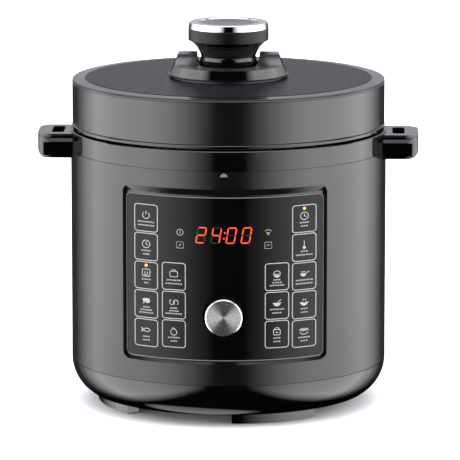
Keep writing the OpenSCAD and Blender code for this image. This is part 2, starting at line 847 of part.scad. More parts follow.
module lid_cover() {
  color("#45454c") difference() {
    union() {
      rotate_extrude() polygon([
        [0, lid_top_z - cover_t], [shoulder_r - 1, lid_top_z - cover_t - 0.4],
        [cover_r - 2.6, lid_z1 - 2.2], [cover_r - 2.6, lid_z1 - 8], [cover_r - 0.4, lid_z1 - 8],
        [cover_r - 0.4, lid_z1 + 1.1], [cover_r + 0.6, lid_z1 + 1.1], [cover_r + 0.6, lid_z1 + 1.4],
        [cover_r + 0.2, lid_z1 + 1.7],
        [shoulder_r + 0.9, lid_top_z - 0.45], [shoulder_r + 0.5, lid_top_z - 0.75],
        [shoulder_r, lid_top_z - 0.75], [shoulder_r - 0.4, lid_top_z - 0.1], [0, lid_top_z]]);
      at_vent() tube(well_r + 1.6, well_r, lid_top_z - 12, lid_top_z - 1);
      at_float() tube(7, 5, lid_top_z - 8, lid_top_z - 1);
      tube(bush_r + 3, bush_r, lid_top_z - 12, lid_top_z - 1);
    }
    disc(bush_r + FIT, lid_z0, lid_top_z + 1);
    at_vent() disc(well_r, lid_z0, lid_top_z + 1);
    at_float() disc(5, lid_z0, lid_top_z + 1);
  }
}

module lid_band() {
  color("#3a3a40") rotate_extrude() polygon([
    [lid_r - 1, trim_z1 + SEAM], [lid_r, trim_z1 + SEAM],
    [lid_r, lid_z1 - 1.6], [lid_r - 0.35, lid_z1 - 1.3], [lid_r - 0.35, lid_z1 - 1],
    [lid_r + 0.1, lid_z1 - 0.8], [lid_r + 0.1, lid_z1 - 0.2], [lid_r - 0.35, lid_z1 + 0.3],
    [lid_r - 1, lid_z1 + 0.3]]);
}

module lid_trim() {
  color("#8b8b90") rotate_extrude() polygon([
    [lid_r - 1.6, lid_z0], [lid_r - 0.1, lid_z0], [lid_r + 0.3, lid_z0 + 0.5],
    [lid_r + 0.3, trim_z1 - 0.9], [lid_r - 0.6, trim_z1], [lid_r - 1.6, trim_z1]]);
}

module lid_chassis() {
  ear_x = lever_w / 2 + 0.6;
  color("#26262a") difference() {
    union() {
      rotate_extrude() polygon([
        [0, chassis_z], [lid_r - 1.8, chassis_z], [lid_r - 1.8, trim_z1 + SEAM],
        [lid_r - 1.2, trim_z1 + SEAM], [lid_r - 1.2, lid_z1 - 9],
        [lid_r - 3.2, lid_z1 - 9], [lid_r - 3.2, chassis_z + mould_wall], [0, chassis_z + mould_wall]]);
      for (s = [-1, 1]) translate([s * (ear_x + 1.5) - 1.5, lever_pivot_y - 5, chassis_z + 1])
        cube([3, 10, lever_z + lever_t + 2 - chassis_z]);
      at_posts() disc(7, chassis_z, chassis_z + 8);
    }
    disc(shaft_r + GAP, chassis_z - 1, chassis_z + 5);
    at_vent() disc(vent_r + 2, chassis_z - 1, chassis_z + 5);
    at_float() disc(float_r + 1, chassis_z - 1, chassis_z + 5);
    at_posts() disc(1.8, chassis_z - 1, chassis_z + 6.5);
    along_x(-20, 20) translate([lever_pivot_y, lever_z + lever_t / 2]) circle(r = lever_pin_r);
  }
}

module inner_lid() {
  color("#b4b6b9") difference() {
    rotate_extrude() polygon([
      [0, dome_z], [dome_r, dome_z], [dome_r, lid_rim_z], [outer_pot_r - 1, lid_rim_z],
      [outer_pot_r - 1, lid_rim_z + lid_sheet], [dome_r + lid_sheet, lid_rim_z + lid_sheet],
      [dome_r + lid_sheet, dome_z + lid_sheet], [0, dome_z + lid_sheet]]);
    at_vent() disc(vent_r, dome_z - 1, dome_z + 3);
    at_float() disc(float_r + FIT, dome_z - 1, dome_z + 3);
    at_posts() disc(1.8, dome_z - 1, dome_z + 3);
  }
}

module seal_ring() {
  color("#cfd2d4") rotate_extrude() polygon([
    [pot_r - 3, seal_z + 1], [pot_r - 1, seal_z], [pot_lip_r + 0.5, seal_z],
    [pot_lip_r + 0.5, lid_rim_z], [pot_r - 3, lid_rim_z]]);
}

module seal_rack() {
  color("#a5a7aa") translate([0, 0, lid_rim_z - 1.4]) rotate_extrude()
    translate([pot_r - 4.6, 0]) circle(r = 1.4);
}

module lid_posts() {
  color("#9a9ca0") at_posts() tube(post_r, 1.8 + FIT, dome_z + lid_sheet, chassis_z);
}

module lid_screws() {
  color("silver") at_posts() {
    disc(3.6, dome_z - 2.2, dome_z);
    disc(1.75, dome_z - EPS, chassis_z + 6);
  }
}

vent_top_z = valve_low_z + 12;

module vent_pipe() {
  color("#a9abad") at_vent() difference() {
    union() {
      disc(vent_r, dome_z - 6, vent_top_z);
      disc(7.5, dome_z - 2.4, dome_z);
      translate([0, 0, dome_z + lid_sheet]) cylinder(r = 7.5, h = 3.5, $fn = 6);
    }
    disc(1.6, dome_z - 8, vent_top_z + 1);
  }
}

module vent_shield() {
  color("#c4c6c8") at_vent() difference() {
    disc(10.5, dome_z - 11, dome_z - 0.02);
    disc(9.5, dome_z - 10, dome_z + 1);
    for (a = [0 : 60 : 300]) rotate([0, 0, a]) translate([9.9, 0, dome_z - 6])
      cube([4, 2.4, 6], center = true);
  }
}

module steam_valve() {
  color("#1c1c1f") at_vent() difference() {
    union() {
      disc(well_r - 0.8, valve_low_z, valve_low_z + 2.2);
      disc(11, valve_low_z + 2, lid_top_z + 3);
      disc(well_r - 1.4, lid_top_z + 1.2, lid_top_z + 8);
    }
    disc(vent_r + FIT, valve_low_z - 1, vent_top_z + 0.02);
    translate([0, 0, vent_top_z]) cylinder(r = 1.5, h = 6);
    for (a = [0 : 60 : 300]) rotate([0, 0, a]) translate([well_r - 1.2, 0, lid_top_z + 5])
      cylinder(r = 1.4, h = 8);
  }
}

module float_pin() {
  color("#b0343a") at_float() {
    disc(float_r, dome_z - 8, lid_top_z - 1.5);
    disc(5.2, dome_z - 8.4, dome_z - 1.6 - float_travel - 0.1);
    disc(4.2, dome_z + lid_sheet, dome_z + lid_sheet + 1.6);
  }
}

module float_seal() {
  color("#c96a5a") at_float() tube(5, float_r + FIT, dome_z - 1.6, dome_z);
}

// Cross-section of the handle bar: flat rim, hollow flanks and a round ridge
crown_r = 5;
flank_r = 13;
ridge_z = bar_z + bar_ridge_h;
bar_rim_z = bar_z + bar_rim_h;
flank_rise = bar_rim_z + flank_r - ridge_z + crown_r;
flank_y = sqrt(pow(crown_r + flank_r, 2) - pow(flank_rise, 2));
flank_deg = atan2(flank_rise, flank_y);
bar_steps = 9;

function crown_point(a) = [crown_r * cos(a), ridge_z - crown_r + crown_r * sin(a)];
function flank_point(a) = [flank_y + flank_r * cos(a), bar_rim_z + flank_r + flank_r * sin(a)];

module bar_section() {
  half = concat(
    [for (i = [0 : bar_steps]) crown_point(90 + (flank_deg - 90) * i / bar_steps)],
    [for (i = [1 : bar_steps]) flank_point(180 + flank_deg + (90 - flank_deg) * i / bar_steps)]);
  edge = bar_r + 2;
  polygon(concat(
    half, [[edge, bar_rim_z], [edge, bar_z], [-edge, bar_z], [-edge, bar_rim_z]],
    [for (i = [len(half) - 1 : -1 : 1]) [-half[i][0], half[i][1]]]));
}

module handle_bar() {
  slope = 0.42;
  color("#161618") difference() {
    union() {
      intersection() {
        translate([0, 0, bar_z + 1.5]) cylinder(r1 = bar_r, r2 = bar_r - slope * 30, h = 30);
        along_x(-bar_r - 2, bar_r + 2) bar_section();
      }
      disc(bar_r + 0.8, bar_z, bar_z + 1.5 + EPS);
      disc(bar_r - 2.5, lid_top_z + 0.1, bar_z + EPS);
    }
    disc(recess_r, recess_z, bar_z + 40);
    disc(bush_r + FIT, lid_top_z - 1, bar_z + 40);
    // hollow underside around the bush
    translate([0, 0, lid_top_z - 1]) difference() {
      cylinder(r1 = bar_r - 5, r2 = bar_r - 9, h = 5 + plinth_h);
      translate([0, 0, -1]) cylinder(r = bush_r + 3, h = 7 + plinth_h);
    }
  }
}

module shaft_bush() {
  color("#d8d6cc") tube(bush_r, shaft_r + FIT, lid_top_z - 12, recess_z);
}

lever_mid_z = lever_z + lever_t / 2;

module lever() {
  color("#b98f4a") difference() {
    union() {
      translate([-lever_w / 2, -3, lever_z]) cube([lever_w, lever_tail_y + 4.2, lever_t]);
      translate([-lever_w / 2, lever_tail_y - 1, lever_z])
        cube([lever_w, 2.2, valve_low_z - GAP - lever_z]);
      along_x(-lever_w / 2, lever_w / 2) translate([lever_pivot_y, lever_mid_z]) circle(r = 3.6);
    }
    along_x(-lever_w, lever_w) translate([lever_pivot_y, lever_mid_z]) circle(r = lever_pin_r + FIT);
  }
}

module lever_pin() {
  color("silver") along_x(-lever_w / 2 - 3.4, lever_w / 2 + 3.4)
    translate([lever_pivot_y, lever_mid_z]) circle(r = lever_pin_r - EPS);
}

module lock_plate() {
  color("#9fa1a4") difference() {
    union() {
      rotate_extrude() polygon([
        [shaft_r + FIT, plate_z], [dome_r + 4, plate_z], [dome_r + 4, tooth_z],
        [tooth_root_r, tooth_z], [tooth_root_r, tooth_z + tooth_t], [dome_r + 6.5, tooth_z + tooth_t],
        [dome_r + 6.5, plate_z + plate_t], [shaft_r + FIT, plate_z + plate_t]]);
      for (k = [0 : teeth - 1])
        sector(tooth_root_r - EPS, tooth_tip_r, k * tooth_pitch - tooth_deg / 2, tooth_deg,
               tooth_z, tooth_z + tooth_t);
    }
    for (a = post_degs) arc_slot(post_ring_r, post_r + 1, a - 1, a + lock_turn + 1, plate_z - 1, plate_z + 5);
    arc_slot(post_ring_r, 9, float_deg, vent_deg + lock_turn + 1, plate_z - 1, plate_z + 5);
  }
}

module knob_shaft() {
  window_a0 = 90 - 35;
  color("#b2b4b7") difference() {
    union() {
      disc(shaft_r, plate_z - 1, knob_z + 14);
      disc(shaft_r + 6, plate_z - 1.8, plate_z);
    }
    disc(shaft_in_r, plate_z - 3, knob_z + 15);
    sector(shaft_in_r - 1, shaft_r + 1, window_a0, 70 + lock_turn, lever_z - 4, lever_z + lever_t + 2.5);
  }
}

// Knob: skirt, neck, flare, satin band and steel ring in one spool
module knob_body() {
  color("#131315") {
    rotate_extrude() polygon([
      [shaft_r + FIT, knob_z], [neck_r + 1.1, knob_z], [neck_r + 1.2, flare_z - 3.7],
      [neck_r + 0.8, flare_z - 3.2], [neck_r + 0.1, flare_z - 0.8], [neck_r, flare_z],
      [neck_r + 0.5, flare_z + 1.8], [neck_r + 1.9, flare_z + 5], [neck_r + 4, flare_z + 8.7],
      [neck_r + 7, flare_z + 12.2], [knob_r - 2, band_z - 0.8], [knob_r, band_z],
      [knob_r, steel_z - 0.4], [knob_r - 0.4, steel_z], [button_r + GAP, steel_z],
      [button_r + GAP, well_z], [rod_r + FIT, well_z], [rod_r + FIT, knob_z + 15],
      [shaft_r + FIT, knob_z + 15]]);
  }
}

module knob_ring() {
  color("#d5d5da") rotate_extrude() polygon([
    [button_r + GAP, steel_z], [knob_r - 0.4, steel_z], [knob_r - 0.2, steel_z + 0.3],
    [knob_r - 1, knob_top_z - 0.4], [knob_r - 1.5, knob_top_z], [button_r + GAP + 0.7, knob_top_z],
    [button_r + GAP, knob_top_z - 0.7]]);
}

module button_spring() {
  color("silver") coil(9, 0.6, well_z + 0.65, button_floor_z + 0.7, 3);
}

module release_button() {
  dish_r = 80;
  dish_d = 4.4;
  color("#3d3d42") difference() {
    union() {
      disc(button_r, button_floor_z, button_top_z);
      disc(rod_r, lever_z + lever_t + rod_gap, button_floor_z + 1);
    }
    translate([0, 0, button_top_z - dish_d + dish_r]) sphere(r = dish_r);
    tube(button_r - 2.5, 7, button_floor_z - 1, button_floor_z + 1.4);
  }
}

base_pan();
feet();
foot_pads();
base_screws();
body_shell();
collar_ring();
handle_left();
handle_right();
handle_caps();
handle_screws();
outer_pot();
lock_flange();
heating_plate();
heating_element();
heater_screws();
sensor_cap();
sensor_spring();
thermal_fuse();
pressure_switch();
panel_bezel();
panel_lens();
touch_film();
control_board();
display_module();
encoder();
dial_surround();
dial_knob();
dial_face();
power_board();
power_components();
wiring();
inlet_socket();
inlet_pins();
cup_holder();
condensation_cup();
inner_pot();
lid_cover();
lid_band();
lid_trim();
lid_chassis();
inner_lid();
seal_ring();
seal_rack();
lid_posts();
lid_screws();
vent_pipe();
vent_shield();
steam_valve();
float_pin();
float_seal();
handle_bar();
shaft_bush();
lever();
lever_pin();
lock_plate();
knob_shaft();
knob_body();
knob_ring();
button_spring();
release_button();
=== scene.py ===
"""Looks of the electric pressure cooker: finishes, printed panel, lit display and the studio around it."""

import math

import bmesh
import bpy
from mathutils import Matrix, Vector


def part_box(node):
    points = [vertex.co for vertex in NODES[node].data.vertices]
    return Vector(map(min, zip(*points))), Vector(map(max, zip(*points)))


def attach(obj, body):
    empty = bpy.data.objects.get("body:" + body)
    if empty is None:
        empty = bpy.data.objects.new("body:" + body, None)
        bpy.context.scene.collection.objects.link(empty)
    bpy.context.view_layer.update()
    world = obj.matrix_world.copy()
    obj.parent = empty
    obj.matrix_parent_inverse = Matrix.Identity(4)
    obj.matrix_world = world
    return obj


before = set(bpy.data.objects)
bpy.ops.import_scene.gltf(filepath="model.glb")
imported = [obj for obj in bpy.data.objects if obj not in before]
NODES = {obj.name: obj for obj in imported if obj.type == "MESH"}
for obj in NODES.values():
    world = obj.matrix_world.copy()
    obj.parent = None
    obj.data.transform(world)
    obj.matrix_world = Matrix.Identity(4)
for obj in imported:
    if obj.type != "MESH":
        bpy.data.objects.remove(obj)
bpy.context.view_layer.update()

MM = 0.001

# ---------- node helpers ----------
SOCKETS = {
    "colour": "Base Color", "metal": "Metallic", "rough": "Roughness", "ior": "IOR",
    "specular": "Specular IOR Level", "anisotropy": "Anisotropic", "through": "Transmission Weight",
    "glow": "Emission Color", "glow_strength": "Emission Strength", "sheen": "Sheen Weight",
    "under": "Subsurface Weight",
}


class Look:
    """A node material being put together: a Principled shader and what varies over the surface."""

    def __init__(self, name, **values):
        self.mat = bpy.data.materials.new(name)
        self.mat.use_nodes = True
        self.tree = self.mat.node_tree
        self.shader = self.tree.nodes["Principled BSDF"]
        for key, value in values.items():
            if key in ("colour", "glow"):
                value = (*value, 1.0)
            self.shader.inputs[SOCKETS[key]].default_value = value

    def add(self, kind, **settings):
        node = self.tree.nodes.new("ShaderNode" + kind)
        for key, value in settings.items():
            if key in node.inputs:
                node.inputs[key].default_value = value
            else:
                setattr(node, key, value)
        return node

    def link(self, source, target):
        self.tree.links.new(source, target)

    def place(self, stretch=(1, 1, 1)):
        """The point on the piece in metres, stretched."""
        coordinates = self.add("TexCoord")
        mapping = self.add("Mapping")
        mapping.inputs["Scale"].default_value = stretch
        self.link(coordinates.outputs["Object"], mapping.inputs["Vector"])
        return mapping.outputs["Vector"]

    def turned(self, centre=(0, 0, 0), around="Z", along=0.02, across=1.0):
        """The point as angle, radius and height about an axis, for finishes made on a lathe."""
        coordinates = self.add("TexCoord")
        shift = self.add("VectorMath", operation="SUBTRACT")
        shift.inputs[1].default_value = centre
        parts = self.add("SeparateXYZ")
        self.link(coordinates.outputs["Object"], shift.inputs[0])
        self.link(shift.outputs[0], parts.inputs[0])
        u, v, w = {"Z": ("X", "Y", "Z"), "Y": ("X", "Z", "Y")}[around]
        angle = self.add("Math", operation="ARCTAN2")
        self.link(parts.outputs[u], angle.inputs[0])
        self.link(parts.outputs[v], angle.inputs[1])
        flat = self.add("CombineXYZ")
        self.link(parts.outputs[u], flat.inputs[0])
        self.link(parts.outputs[v], flat.inputs[1])
        radius = self.add("VectorMath", operation="LENGTH")
        self.link(flat.outputs[0], radius.inputs[0])
        out = self.add("CombineXYZ")
        for k, (socket, size) in enumerate(((angle.outputs[0], along), (radius.outputs["Value"], across),
                                            (parts.outputs[w], across))):
            scaled = self.add("Math", operation="MULTIPLY")
            scaled.inputs[1].default_value = size
            self.link(socket, scaled.inputs[0])
            self.link(scaled.outputs[0], out.inputs[k])
        return out.outputs[0]

    def noise(self, where, scale, detail=3.0):
        node = self.add("TexNoise")
        node.inputs["Scale"].default_value = scale
        node.inputs["Detail"].default_value = detail
        self.link(where, node.inputs["Vector"])
        return node.outputs["Fac"]

    def spread(self, value, low, high):
        """A noise or a mask, clipped to 0.3 to 0.7, turned into the range from low to high."""
        node = self.add("MapRange")
        node.inputs["From Min"].default_value = 0.3
        node.inputs["From Max"].default_value = 0.7
        node.inputs["To Min"].default_value = low
        node.inputs["To Max"].default_value = high
        self.link(value, node.inputs["Value"])
        return node.outputs["Result"]

    def vary_rough(self, value, low, high):
        self.link(self.spread(value, low, high), self.shader.inputs["Roughness"])

    def vary_colour(self, value, dark, light):
        mix = self.add("Mix", data_type="RGBA")
        mix.inputs[6].default_value = (*dark, 1)
        mix.inputs[7].default_value = (*light, 1)
        self.link(self.spread(value, 0, 1), mix.inputs[0])
        self.link(mix.outputs[2], self.shader.inputs["Base Color"])

    def height(self):
        """How high the point stands, in metres."""
        parts = self.add("SeparateXYZ")
        self.link(self.add("TexCoord").outputs["Object"], parts.inputs[0])
        return parts.outputs["Z"]

    def radius(self, slope=0.0):
        """How far out from the body's axis the point is, plus slope times its height."""
        flat = self.add("VectorMath", operation="MULTIPLY")
        flat.inputs[1].default_value = (1, 1, 0)
        self.link(self.add("TexCoord").outputs["Object"], flat.inputs[0])
        length = self.add("VectorMath", operation="LENGTH")
        self.link(flat.outputs[0], length.inputs[0])
        total = self.add("Math", operation="MULTIPLY_ADD")
        total.inputs[1].default_value = slope
        self.link(self.height(), total.inputs[0])
        self.link(length.outputs["Value"], total.inputs[2])
        return total.outputs[0]

    def above(self, value, limit, soft=0.0002):
        """0 below the limit, 1 above it."""
        node = self.add("MapRange")
        node.inputs["From Min"].default_value = limit - soft
        node.inputs["From Max"].default_value = limit + soft
        self.link(value, node.inputs["Value"])
        return node.outputs["Result"]

    def steer(self, key, where, low, high):
        """Set a socket to low where the mask is 0 and to high where it is 1. Each is a number or a socket."""
        node = self.add("Mix", data_type="FLOAT")
        self.link(where, node.inputs[0])
        for socket, value in ((node.inputs[2], low), (node.inputs[3], high)):
            if isinstance(value, (int, float)):
                socket.default_value = value
            else:
                self.link(value, socket)
        self.link(node.outputs[0], self.shader.inputs[SOCKETS[key]])

    def bump(self, value, strength, depth):
        node = self.add("Bump")
        node.inputs["Strength"].default_value = strength
        node.inputs["Distance"].default_value = depth
        self.link(value, node.inputs["Height"])
        self.link(node.outputs["Normal"], self.shader.inputs["Normal"])


# ---------- finishes ----------
# Where the finishes change over one piece, in metres
BODY_SHINE_Z, BODY_SHINE_SPAN = 0.17, 0.13
LID_SHOULDER_R = 0.1368
KNOB_HUB_TOP_Z, KNOB_BAND_LOW_Z = 0.3284, 0.3472
BAR_FOOT_R, BAR_FOOT_SLOPE, BAR_FOOT_Z = 0.056, 0.42, 0.3152


def gloss_black(name, tone=0.0008, rough=(0.035, 0.075), specular=0.5):
    """Polished black moulding with a faint orange peel."""
    look = Look(name, specular=specular)
    place = look.place()
    look.vary_colour(look.noise(place, 35), (tone, tone, tone * 1.05), (tone * 1.5, tone * 1.5, tone * 1.6))
    look.vary_rough(look.noise(place, 60), *rough)
    look.bump(look.noise(place, 420, 2), 0.03, 0.0002)
    return look.mat


def satin_plastic(name, tone=0.008, rough=(0.34, 0.46), tint=(1, 1, 1)):
    """Fine-textured moulded plastic."""
    look = Look(name)
    place = look.place()
    dark = [tone * t for t in tint]
    look.vary_colour(look.noise(place, 90), dark, [1.4 * d for d in dark])
    look.vary_rough(look.noise(place, 150), *rough)
    look.bump(look.noise(place, 1900, 2), 0.12, 0.0003)
    return look.mat


def lacquered_steel(name, tone=0.002, rough=(0.15, 0.2), shine=(0.4, 0.52)):
    """Dark lacquer over sheet steel with a faint grain; shine is its specular level below and above."""
    look = Look(name)
    rise = look.above(look.height(), BODY_SHINE_Z, BODY_SHINE_SPAN)
    look.steer("specular", rise, *shine)
    around = look.turned(along=0.35)
    look.vary_colour(look.noise(around, 700, 2), (tone, tone, tone * 1.08),
                     (tone * 1.7, tone * 1.7, tone * 1.85))
    look.vary_rough(look.noise(look.place(), 45), *rough)
    look.bump(look.noise(around, 900, 3), 0.035, 0.0001)
    return look.mat


def lid_satin(name, shoulder_r):
    """Satin top of the lid with a glossier shoulder round it."""
    look = Look(name)
    place = look.place()
    look.vary_colour(look.noise(place, 90), (0.004, 0.004, 0.005), (0.006, 0.006, 0.0075))
    shoulder = look.above(look.radius(), shoulder_r, 0.0006)
    look.steer("rough", shoulder, look.spread(look.noise(place, 150), 0.28, 0.34), 0.14)
    look.steer("specular", shoulder, 0.03, 0.3)
    look.bump(look.noise(place, 1900, 2), 0.05, 0.0002)
    return look.mat


def bar_black(name, foot_r, slope, foot_z):
    """Handle bar: polished cone-shaped outside, satin where the hand goes."""
    look = Look(name)
    place = look.place()
    look.vary_colour(look.noise(place, 60), (0.001, 0.001, 0.0011), (0.0015, 0.0015, 0.0017))
    outside = look.above(look.radius(slope), foot_r + slope * foot_z - 0.0005)
    look.steer("rough", outside, look.spread(look.noise(place, 300), 0.36, 0.44), 0.05)
    look.steer("specular", outside, 1.0, 0.5)
    look.bump(look.noise(place, 900, 2), 0.04, 0.0002)
    return look.mat


def knob_black(name, hub_z, band_z):
    """Knob: dull hub, polished flare and a brushed band below the steel ring."""
    look = Look(name)
    around = look.turned(along=0.01)
    height = look.height()
    grain = look.noise(around, 2600, 3)
    band = look.above(height, band_z)
    hub = look.above(height, hub_z)
    look.vary_colour(look.noise(look.place(), 60), (0.001, 0.001, 0.0011), (0.0015, 0.0015, 0.0017))
    look.steer("metal", band, 0.0, 0.02)
    look.steer("rough", band, 0.07, look.spread(grain, 0.3, 0.42))
    look.steer("specular", hub, 0.05, look.spread(band, 0.5, 0.2))
    look.bump(grain, 0.05, 0.0001)
    return look.mat


def turned_metal(name, tone, rough, centre=(0, 0, 0), around="Z", bump=0.08, anisotropy=0.0, turn=0.0):
    """Bright metal turned on a lathe: fine rings and a highlight drawn out across them."""
    look = Look(name, metal=1.0, anisotropy=anisotropy)
    rings = look.turned(centre, around, along=0.01)
    look.vary_colour(look.noise(rings, 1500, 2), [0.9 * t for t in tone], tone)
    look.vary_rough(look.noise(rings, 900, 3), *rough)
    look.bump(look.noise(rings, 2600, 2), bump, 0.0001)
    if anisotropy:
        tangent = look.add("Tangent", direction_type="RADIAL", axis=around)
        look.link(tangent.outputs[0], look.shader.inputs["Tangent"])
        look.shader.inputs["Anisotropic Rotation"].default_value = turn
    return look.mat


def brushed_metal(name, tone, rough, stretch=(1, 1, 1), metal=1.0, scale=900):
    """Sheet or cast metal with a straight grain along the axis that is stretched least."""
    look = Look(name, metal=metal)
    place = look.place(stretch)
    look.vary_colour(look.noise(place, scale, 2), [0.8 * t for t in tone], tone)
    look.vary_rough(look.noise(place, scale / 3), *rough)
    look.bump(look.noise(place, scale), 0.06, 0.0002)
    return look.mat


def rubbery(name, tone, rough=(0.45, 0.6), under=0.0):
    """Silicone or rubber with a soft, slightly dusty skin."""
    look = Look(name, under=under, sheen=0.15)
    place = look.place()
    look.vary_colour(look.noise(place, 60), [0.85 * t for t in tone], tone)
    look.vary_rough(look.noise(place, 200), *rough)
    look.bump(look.noise(place, 1500, 2), 0.08, 0.0002)
    return look.mat


def circuit_board(name):
    """Green board with copper tracks under the lacquer."""
    look = Look(name)
    place = look.place()
    tracks = look.add("TexBrick", offset=0.5)
    tracks.inputs["Scale"].default_value = 170
    tracks.inputs["Mortar Size"].default_value = 0.03
    tracks.inputs["Color1"].default_value = (0.01, 0.09, 0.03, 1)
    tracks.inputs["Color2"].default_value = (0.012, 0.11, 0.04, 1)
    tracks.inputs["Mortar"].default_value = (0.05, 0.2, 0.07, 1)
    look.link(place, tracks.inputs["Vector"])
    look.link(tracks.outputs["Color"], look.shader.inputs["Base Color"])
    look.vary_rough(look.noise(place, 120), 0.25, 0.45)
    return look.mat


def ink_and_painted_highlight(name, tone, patchy=0.12):
    """Matt light ink, a little uneven; the same finish draws the painted highlight on the lens edge."""
    look = Look(name, specular=0.3)
    place = look.place()
    look.vary_colour(look.noise(place, 800), [tone * (1 - patchy)] * 3, [tone] * 3)
    look.vary_rough(look.noise(place, 300), 0.45, 0.6)
    return look.mat


def lit(name, colour, strength, rim):
    """A lit segment or lamp: an even glow on a surface whose roughness varies a little; it also gives unlit
    segments a faint painted glow.
    """
    look = Look(name, colour=rim, rough=0.4, glow=colour, glow_strength=strength)
    place = look.place()
    look.vary_rough(look.noise(place, 500), 0.35, 0.5)
    return look.mat


def smoked_clear(name):
    """Smoky clear plastic."""
    look = Look(name, through=0.9, ior=1.49)
    place = look.place()
    look.vary_colour(look.noise(place, 40), (0.55, 0.57, 0.6), (0.62, 0.64, 0.66))
    look.vary_rough(look.noise(place, 80), 0.03, 0.08)
    look.bump(look.noise(place, 260), 0.05, 0.0003)
    return look.mat


DIAL_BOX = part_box("dial_face")
DIAL_CENTRE = (DIAL_BOX[0] + DIAL_BOX[1]) / 2

FINISHES = {
    "gloss": gloss_black("gloss_black"),
    "base_gloss": gloss_black("base_gloss", rough=(0.05, 0.09)),
    "satin": satin_plastic("satin_black"),
    "chassis": satin_plastic("chassis_black", tone=0.03),
    "body": lacquered_steel("body_lacquer"),
    "lid_side": lacquered_steel("lid_lacquer", shine=(0.5, 0.54)),
    "lid_top": lid_satin("lid_top_satin", LID_SHOULDER_R),
    "trim": gloss_black("trim_black", rough=(0.06, 0.1)),
    "lens": gloss_black("lens_black", tone=0.001, rough=(0.06, 0.09), specular=0.15),
    "bezel": lacquered_steel("bezel_lacquer", rough=(0.16, 0.22)),
    "cap": gloss_black("cap_black", tone=0.006, rough=(0.12, 0.18)),
    "knob": knob_black("knob_black", KNOB_HUB_TOP_Z, KNOB_BAND_LOW_Z),
    "bar": bar_black("bar_black", BAR_FOOT_R, BAR_FOOT_SLOPE, BAR_FOOT_Z),
    "ring": turned_metal("ring_steel", (0.6, 0.6, 0.64), (0.05, 0.09), bump=0.01),
    "button": gloss_black("button_black", tone=0.004, rough=(0.05, 0.09)),
    "dial": turned_metal("dial_spun", (0.86, 0.86, 0.87), (0.26, 0.34), tuple(DIAL_CENTRE), "Y",
                         bump=0.02, anisotropy=0.8, turn=0.25),
    "steel": brushed_metal("steel_sheet", (0.62, 0.62, 0.63), (0.2, 0.32), (1, 1, 0.04)),
    "pot": turned_metal("pot_steel", (0.72, 0.72, 0.72), (0.16, 0.28)),
    "cast": brushed_metal("cast_aluminium", (0.6, 0.6, 0.61), (0.35, 0.5), scale=400),
    "galvanised": brushed_metal("galvanised_steel", (0.45, 0.46, 0.48), (0.3, 0.45), (1, 1, 0.1), scale=300),
    "screw": brushed_metal("screw_zinc", (0.66, 0.66, 0.64), (0.25, 0.35)),
    "brass": brushed_metal("brass_lever", (0.6, 0.42, 0.2), (0.25, 0.4), (1, 0.05, 1)),
    "silicone": rubbery("seal_silicone", (0.62, 0.64, 0.65), under=0.1),
    "red": rubbery("red_silicone", (0.5, 0.06, 0.04)),
    "red_pin": satin_plastic("float_red", tone=0.3, tint=(1, 0.1, 0.1)),
    "rubber": rubbery("foot_rubber", (0.03, 0.03, 0.032), (0.6, 0.8)),
    "board": circuit_board("circuit_board"),
    "parts": satin_plastic("component_blue", tone=0.05, tint=(0.6, 0.7, 1.4)),
    "wire": rubbery("wire_sleeve", (0.42, 0.16, 0.05)),
    "film": satin_plastic("film_amber", tone=0.08, tint=(1, 0.85, 0.4)),
    "ceramic": satin_plastic("ceramic_cream", tone=0.5, tint=(1, 0.93, 0.75)),
    "switch": satin_plastic("switch_red", tone=0.25, tint=(1, 0.15, 0.12)),
    "nylon": satin_plastic("bush_nylon", tone=0.6, tint=(1, 0.98, 0.92)),
    "clear": smoked_clear("smoked_clear"),
}

WORN_BY = {
    "bar": ["handle_bar"],
    "gloss": ["collar_ring", "handle_left", "handle_right", "dial_surround", "inlet_socket"],
    "base_gloss": ["base_pan", "feet"],
    "satin": ["cup_holder", "display_module", "dial_knob", "steam_valve"],
    "chassis": ["lid_chassis"],
    "body": ["body_shell"],
    "lid_side": ["lid_band"],
    "lid_top": ["lid_cover"],
    "trim": ["lid_trim"],
    "lens": ["panel_lens"],
    "bezel": ["panel_bezel"],
    "cap": ["handle_caps"],
    "knob": ["knob_body"],
    "ring": ["knob_ring"],
    "button": ["release_button"],
    "dial": ["dial_face"],
    "steel": ["inner_lid", "vent_shield", "knob_shaft", "seal_rack"],
    "pot": ["inner_pot"],
    "cast": ["heating_plate", "lock_flange", "lock_plate", "vent_pipe", "sensor_cap", "lid_posts"],
    "galvanised": ["outer_pot", "heating_element"],
    "screw": ["base_screws", "handle_screws", "heater_screws", "lid_screws", "lever_pin", "encoder",
              "sensor_spring", "button_spring"],
    "brass": ["lever", "inlet_pins"],
    "silicone": ["seal_ring"],
    "red": ["float_seal"],
    "red_pin": ["float_pin"],
    "rubber": ["foot_pads"],
    "board": ["control_board", "power_board"],
    "parts": ["power_components"],
    "wire": ["wiring"],
    "film": ["touch_film"],
    "ceramic": ["thermal_fuse"],
    "switch": ["pressure_switch"],
    "nylon": ["shaft_bush"],
    "clear": ["condensation_cup"],
}


for finish, nodes in WORN_BY.items():
    for node in nodes:
        for slot in NODES[node].material_slots:
            slot.link = "OBJECT"
            slot.material = FINISHES[finish]

# Width in mm and number of segments of each rounded edge
BEVELS = {"handle_caps": (1.5, 4), "handle_left": (0.5, 2), "handle_right": (0.5, 2), "handle_bar": (0.6, 3),
          "knob_ring": (0.25, 2), "feet": (0.6, 2), "base_pan": (0.3, 2)}
BEVEL_FROM = math.radians(32)
for node, (width, segments) in BEVELS.items():
    bevel = NODES[node].modifiers.new("edge", "BEVEL")
    bevel.width = width * MM
    bevel.segments = segments
    bevel.limit_method = "ANGLE"
    bevel.angle_limit = BEVEL_FROM
    bevel.harden_normals = True

# ---------- flat shapes laid on the curved lens ----------
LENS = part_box("panel_lens")
LENS_R = -LENS[0].y
PRINT_T = 0.05 * MM
STEP = 2 * MM


